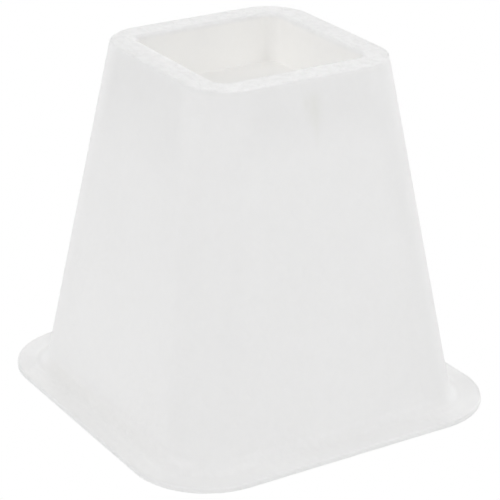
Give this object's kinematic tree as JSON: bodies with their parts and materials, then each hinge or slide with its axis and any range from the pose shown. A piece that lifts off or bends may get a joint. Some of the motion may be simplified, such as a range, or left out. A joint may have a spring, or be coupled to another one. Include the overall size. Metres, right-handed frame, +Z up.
{
  "type": "bed riser",
  "caption": "Tapered square bed riser: a hollow white plastic block, open underneath, with a square socket in its top that holds a bed leg and a flat foot flange that stands on the floor.",
  "frame": {"origin": "middle of the underside, on the floor", "axes": "+Z up along the middle of the riser, X and Y square to its four sides"},
  "size_m": [0.1654, 0.1654, 0.1524],
  "materials": {
    "body": "white moulded polypropylene, fine satin grain"
  },
  "bodies": {
    "root": {"riser_body": "body"}
  },
  "joints": []
}
